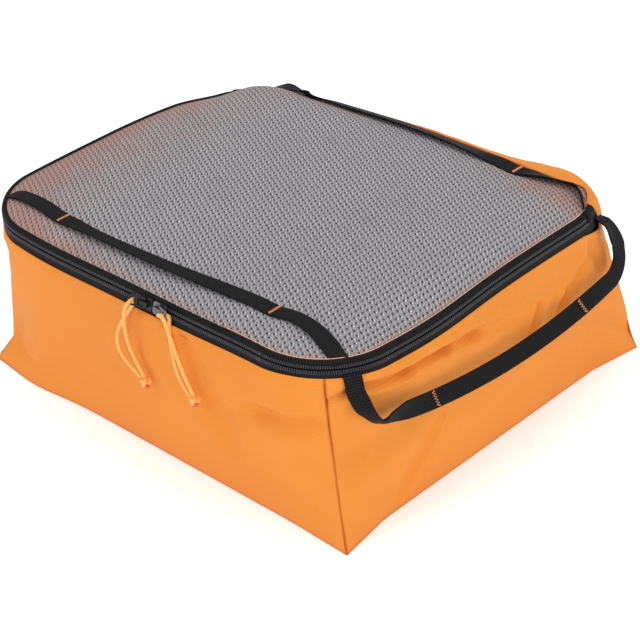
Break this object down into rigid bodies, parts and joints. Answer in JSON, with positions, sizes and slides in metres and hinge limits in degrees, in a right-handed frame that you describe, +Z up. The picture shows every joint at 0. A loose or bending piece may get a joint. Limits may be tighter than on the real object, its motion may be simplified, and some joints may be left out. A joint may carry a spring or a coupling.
{
  "type": "packing cube",
  "caption": "Soft rectangular travel organiser with a zipped mesh lid, webbing straps across the lid, a webbing side handle and cord zipper pulls.",
  "frame": {"origin": "centre of the fabric base, on the surface that the cube stands on", "axes": "+X along the front wall to the right, +Y to the back, where the lid folds, +Z up"},
  "size_m": [0.3717, 0.3384, 0.146],
  "materials": {
    "orange_nylon": "matte coated plain-weave nylon",
    "seam_binding": "matte bound tape",
    "zipper_tape": "matte woven tape",
    "zipper_coil": "satin moulded coil",
    "piping": "satin folded tape over cord",
    "lid_mesh": "knitted mesh",
    "webbing": "ribbed woven webbing",
    "bartack_thread": "dense zigzag thread",
    "slider_metal": "dark gunmetal, satin",
    "pull_cord": "smooth braided cord",
    "melted_knot": "heat-sealed cord end"
  },
  "bodies": {
    "bag": {"base_panel": "orange_nylon", "front_panel": "orange_nylon", "right_panel": "orange_nylon", "left_panel": "orange_nylon", "back_panel": "orange_nylon", "base_seam_binding": "seam_binding", "seam_binding_front_left": "seam_binding", "seam_binding_front_right": "seam_binding", "seam_binding_back_left": "seam_binding", "seam_binding_back_right": "seam_binding", "zipper_tape_lower": "zipper_tape", "zipper_coil_lower": "zipper_coil", "zipper_end_tab_left": "zipper_tape", "zipper_end_tab_right": "zipper_tape", "rear_mesh_strip": "lid_mesh", "rear_seam_binding": "seam_binding", "rear_strap": "webbing", "rear_strap_bartacks": "bartack_thread", "handle_anchor_front": "webbing", "handle_anchor_rear": "webbing"},
    "lid": {"lid_mesh": "lid_mesh", "lid_piping": "piping", "zipper_tape_upper": "zipper_tape", "zipper_coil_upper": "zipper_coil", "front_strap": "webbing", "front_strap_bartacks": "bartack_thread"},
    "handle": {"side_handle": "webbing", "side_handle_bartacks": "bartack_thread"},
    "slider_left": {"slider_left": "slider_metal"},
    "pull_left": {"pull_tab_left": "slider_metal", "pull_cord_left_front": "pull_cord", "pull_cord_left_rear": "pull_cord", "cord_knot_left": "melted_knot"},
    "slider_right": {"slider_right": "slider_metal"},
    "pull_right": {"pull_tab_right": "slider_metal", "pull_cord_right_front": "pull_cord", "pull_cord_right_rear": "pull_cord", "cord_knot_right": "melted_knot"}
  },
  "joints": [
    {"name": "lid_fold", "type": "hinge", "parent": "bag", "child": "lid", "pos_m": [0, 0.094, 0.1436], "axis": [-1, 0, 0], "range_deg": [0, 165]},
    {"name": "handle_swing", "type": "hinge", "parent": "bag", "child": "handle", "pos_m": [0.1805, 0, 0.117], "axis": [0, -1, 0], "range_deg": [0, 110]},
    {"name": "slider_left_run", "type": "slide", "parent": "bag", "child": "slider_left", "axis": [1, 0, 0], "range_m": [-0.112, 0]},
    {"name": "slider_right_run", "type": "slide", "parent": "bag", "child": "slider_right", "axis": [1, 0, 0], "range_m": [0, 0.07]},
    {"name": "pull_left_swing", "type": "hinge", "parent": "slider_left", "child": "pull_left", "pos_m": [0.017, -0.17098, 0.13487], "axis": [0, 0.2588, 0.9659], "range_deg": [0, 60]},
    {"name": "pull_right_swing", "type": "hinge", "parent": "slider_right", "child": "pull_right", "pos_m": [0.03, -0.17098, 0.13487], "axis": [0, 0.2588, 0.9659], "range_deg": [-60, 0]}
  ]
}
